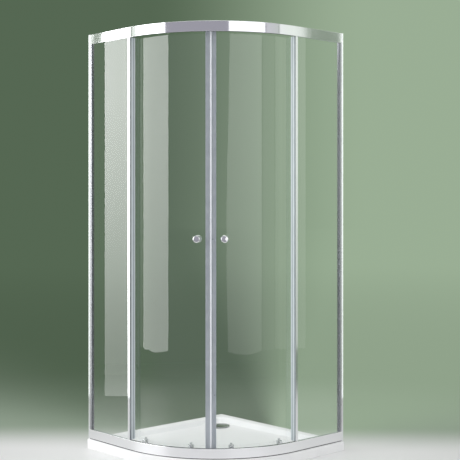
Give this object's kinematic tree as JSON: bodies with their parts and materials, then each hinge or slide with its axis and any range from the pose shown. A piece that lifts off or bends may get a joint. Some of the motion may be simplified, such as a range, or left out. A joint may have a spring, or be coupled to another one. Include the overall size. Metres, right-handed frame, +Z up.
{
  "type": "quadrant shower enclosure",
  "caption": "Corner shower enclosure with a low quadrant tray, bent bright rails, flat fixed panes and curved glass doors that slide apart from the middle on rollers.",
  "frame": {"origin": "on the floor under the middle of the tray's square", "axes": "+Z up; the backs of the wall profiles lie in the planes x = -0.45 and y = +0.45, and the rounded front points half way between +X and -Y"},
  "size_m": [0.9, 0.9, 2.045],
  "materials": {
    "white_acrylic": "gloss white acrylic skin over a cast core",
    "chrome": "polished chrome plate",
    "rubber": "matt black",
    "bright_aluminium": "bright polished and anodised",
    "grey_plastic": "fine matt moulding",
    "steel": "plain stainless",
    "clear_glass": "clear toughened glass with polished edges",
    "clear_seal": "clear, slightly cloudy flexible extrusion",
    "white_magnet": "matt white flexible magnet",
    "white_nylon": "semi-matt nylon"
  },
  "bodies": {
    "frame": {"shower_tray": "white_acrylic", "waste_flange": "chrome", "waste_gasket": "rubber", "top_rail": "bright_aluminium", "bottom_rail": "bright_aluminium", "corner_connectors": "grey_plastic", "corner_screws": "steel", "profile_screws": "steel", "end_stops": "rubber", "left_wall_profile": "bright_aluminium", "right_wall_profile": "bright_aluminium", "left_side_post": "bright_aluminium", "right_side_post": "bright_aluminium", "left_fixed_glass": "clear_glass", "right_fixed_glass": "clear_glass", "left_glazing_gasket": "clear_seal", "right_glazing_gasket": "clear_seal", "left_fixed_edge_profile": "bright_aluminium", "right_fixed_edge_profile": "bright_aluminium", "left_fixed_edge_seal": "clear_seal", "right_fixed_edge_seal": "clear_seal"},
    "drain_cover": {"drain_cover": "chrome"},
    "left_door": {"left_door_glass": "clear_glass", "left_trailing_seal": "clear_seal", "left_magnetic_seal": "clear_seal", "left_magnet_strip": "white_magnet", "left_outer_knob": "chrome", "left_inner_knob": "chrome", "left_knob_washers": "clear_seal", "left_roller_hangers": "chrome", "left_roller_axles": "steel", "left_hanger_caps": "chrome", "left_guide_caps": "chrome", "left_glass_bushes": "white_nylon", "left_guide_bodies": "grey_plastic"},
    "left_outer_top_wheel": {"left_outer_top_wheel": "white_nylon"},
    "left_outer_guide": {"left_outer_guide_plunger": "grey_plastic"},
    "left_outer_guide_wheel": {"left_outer_guide_wheel": "white_nylon"},
    "left_inner_top_wheel": {"left_inner_top_wheel": "white_nylon"},
    "left_inner_guide": {"left_inner_guide_plunger": "grey_plastic"},
    "left_inner_guide_wheel": {"left_inner_guide_wheel": "white_nylon"},
    "right_door": {"right_door_glass": "clear_glass", "right_trailing_seal": "clear_seal", "right_magnetic_seal": "clear_seal", "right_magnet_strip": "white_magnet", "right_outer_knob": "chrome", "right_inner_knob": "chrome", "right_knob_washers": "clear_seal", "right_roller_hangers": "chrome", "right_roller_axles": "steel", "right_hanger_caps": "chrome", "right_guide_caps": "chrome", "right_glass_bushes": "white_nylon", "right_guide_bodies": "grey_plastic"},
    "right_outer_top_wheel": {"right_outer_top_wheel": "white_nylon"},
    "right_outer_guide": {"right_outer_guide_plunger": "grey_plastic"},
    "right_outer_guide_wheel": {"right_outer_guide_wheel": "white_nylon"},
    "right_inner_top_wheel": {"right_inner_top_wheel": "white_nylon"},
    "right_inner_guide": {"right_inner_guide_plunger": "grey_plastic"},
    "right_inner_guide_wheel": {"right_inner_guide_wheel": "white_nylon"}
  },
  "joints": [
    {"name": "drain_cover_lift", "type": "slide", "parent": "frame", "child": "drain_cover", "axis": [0, 0, 1], "range_m": [0, 0.06]},
    {"name": "left_door_slide", "type": "hinge", "parent": "frame", "child": "left_door", "pos_m": [-0.1734, 0.22, 0.045], "axis": [0, 0, -1], "range_deg": [0, 19.3]},
    {"name": "left_outer_top_wheel_spin", "type": "hinge", "parent": "left_door", "child": "left_outer_top_wheel", "pos_m": [-0.04877, -0.42219, 2.0293], "axis": [0.1143, -0.9934, 0], "range_deg": [0, 1100]},
    {"name": "left_outer_guide_press", "type": "slide", "parent": "left_door", "child": "left_outer_guide", "axis": [0, 0, -1], "range_m": [0, 0.005], "stiffness_N_per_m": 600, "springref_m": -0.003},
    {"name": "left_outer_guide_wheel_spin", "type": "hinge", "parent": "left_outer_guide", "child": "left_outer_guide_wheel", "pos_m": [-0.04877, -0.42219, 0.063], "axis": [0.1143, -0.9934, 0], "range_deg": [-1450, 0]},
    {"name": "left_inner_top_wheel_spin", "type": "hinge", "parent": "left_door", "child": "left_inner_top_wheel", "pos_m": [0.19245, -0.33215, 2.0293], "axis": [0.5646, -0.8254, 0], "range_deg": [0, 1100]},
    {"name": "left_inner_guide_press", "type": "slide", "parent": "left_door", "child": "left_inner_guide", "axis": [0, 0, -1], "range_m": [0, 0.005], "stiffness_N_per_m": 600, "springref_m": -0.003},
    {"name": "left_inner_guide_wheel_spin", "type": "hinge", "parent": "left_inner_guide", "child": "left_inner_guide_wheel", "pos_m": [0.19245, -0.33215, 0.063], "axis": [0.5646, -0.8254, 0], "range_deg": [-1450, 0]},
    {"name": "right_door_slide", "type": "hinge", "parent": "frame", "child": "right_door", "pos_m": [-0.22, 0.1734, 0.045], "axis": [0, 0, 1], "range_deg": [0, 19.3]},
    {"name": "right_outer_top_wheel_spin", "type": "hinge", "parent": "right_door", "child": "right_outer_top_wheel", "pos_m": [0.42219, 0.04877, 2.0293], "axis": [-0.9934, 0.1143, 0], "range_deg": [0, 1100]},
    {"name": "right_outer_guide_press", "type": "slide", "parent": "right_door", "child": "right_outer_guide", "axis": [0, 0, -1], "range_m": [0, 0.005], "stiffness_N_per_m": 600, "springref_m": -0.003},
    {"name": "right_outer_guide_wheel_spin", "type": "hinge", "parent": "right_outer_guide", "child": "right_outer_guide_wheel", "pos_m": [0.42219, 0.04877, 0.063], "axis": [-0.9934, 0.1143, 0], "range_deg": [-1450, 0]},
    {"name": "right_inner_top_wheel_spin", "type": "hinge", "parent": "right_door", "child": "right_inner_top_wheel", "pos_m": [0.33215, -0.19245, 2.0293], "axis": [-0.8254, 0.5646, 0], "range_deg": [0, 1100]},
    {"name": "right_inner_guide_press", "type": "slide", "parent": "right_door", "child": "right_inner_guide", "axis": [0, 0, -1], "range_m": [0, 0.005], "stiffness_N_per_m": 600, "springref_m": -0.003},
    {"name": "right_inner_guide_wheel_spin", "type": "hinge", "parent": "right_inner_guide", "child": "right_inner_guide_wheel", "pos_m": [0.33215, -0.19245, 0.063], "axis": [-0.8254, 0.5646, 0], "range_deg": [-1450, 0]}
  ],
  "couplings": [
    {"joint": "left_outer_top_wheel_spin", "follows": "left_door_slide", "ratio": 54.514},
    {"joint": "left_outer_guide_wheel_spin", "follows": "left_door_slide", "ratio": -72.686},
    {"joint": "left_inner_top_wheel_spin", "follows": "left_door_slide", "ratio": 55.197},
    {"joint": "left_inner_guide_wheel_spin", "follows": "left_door_slide", "ratio": -73.595},
    {"joint": "right_outer_top_wheel_spin", "follows": "right_door_slide", "ratio": 54.514},
    {"joint": "right_outer_guide_wheel_spin", "follows": "right_door_slide", "ratio": -72.686},
    {"joint": "right_inner_top_wheel_spin", "follows": "right_door_slide", "ratio": 55.197},
    {"joint": "right_inner_guide_wheel_spin", "follows": "right_door_slide", "ratio": -73.595}
  ]
}
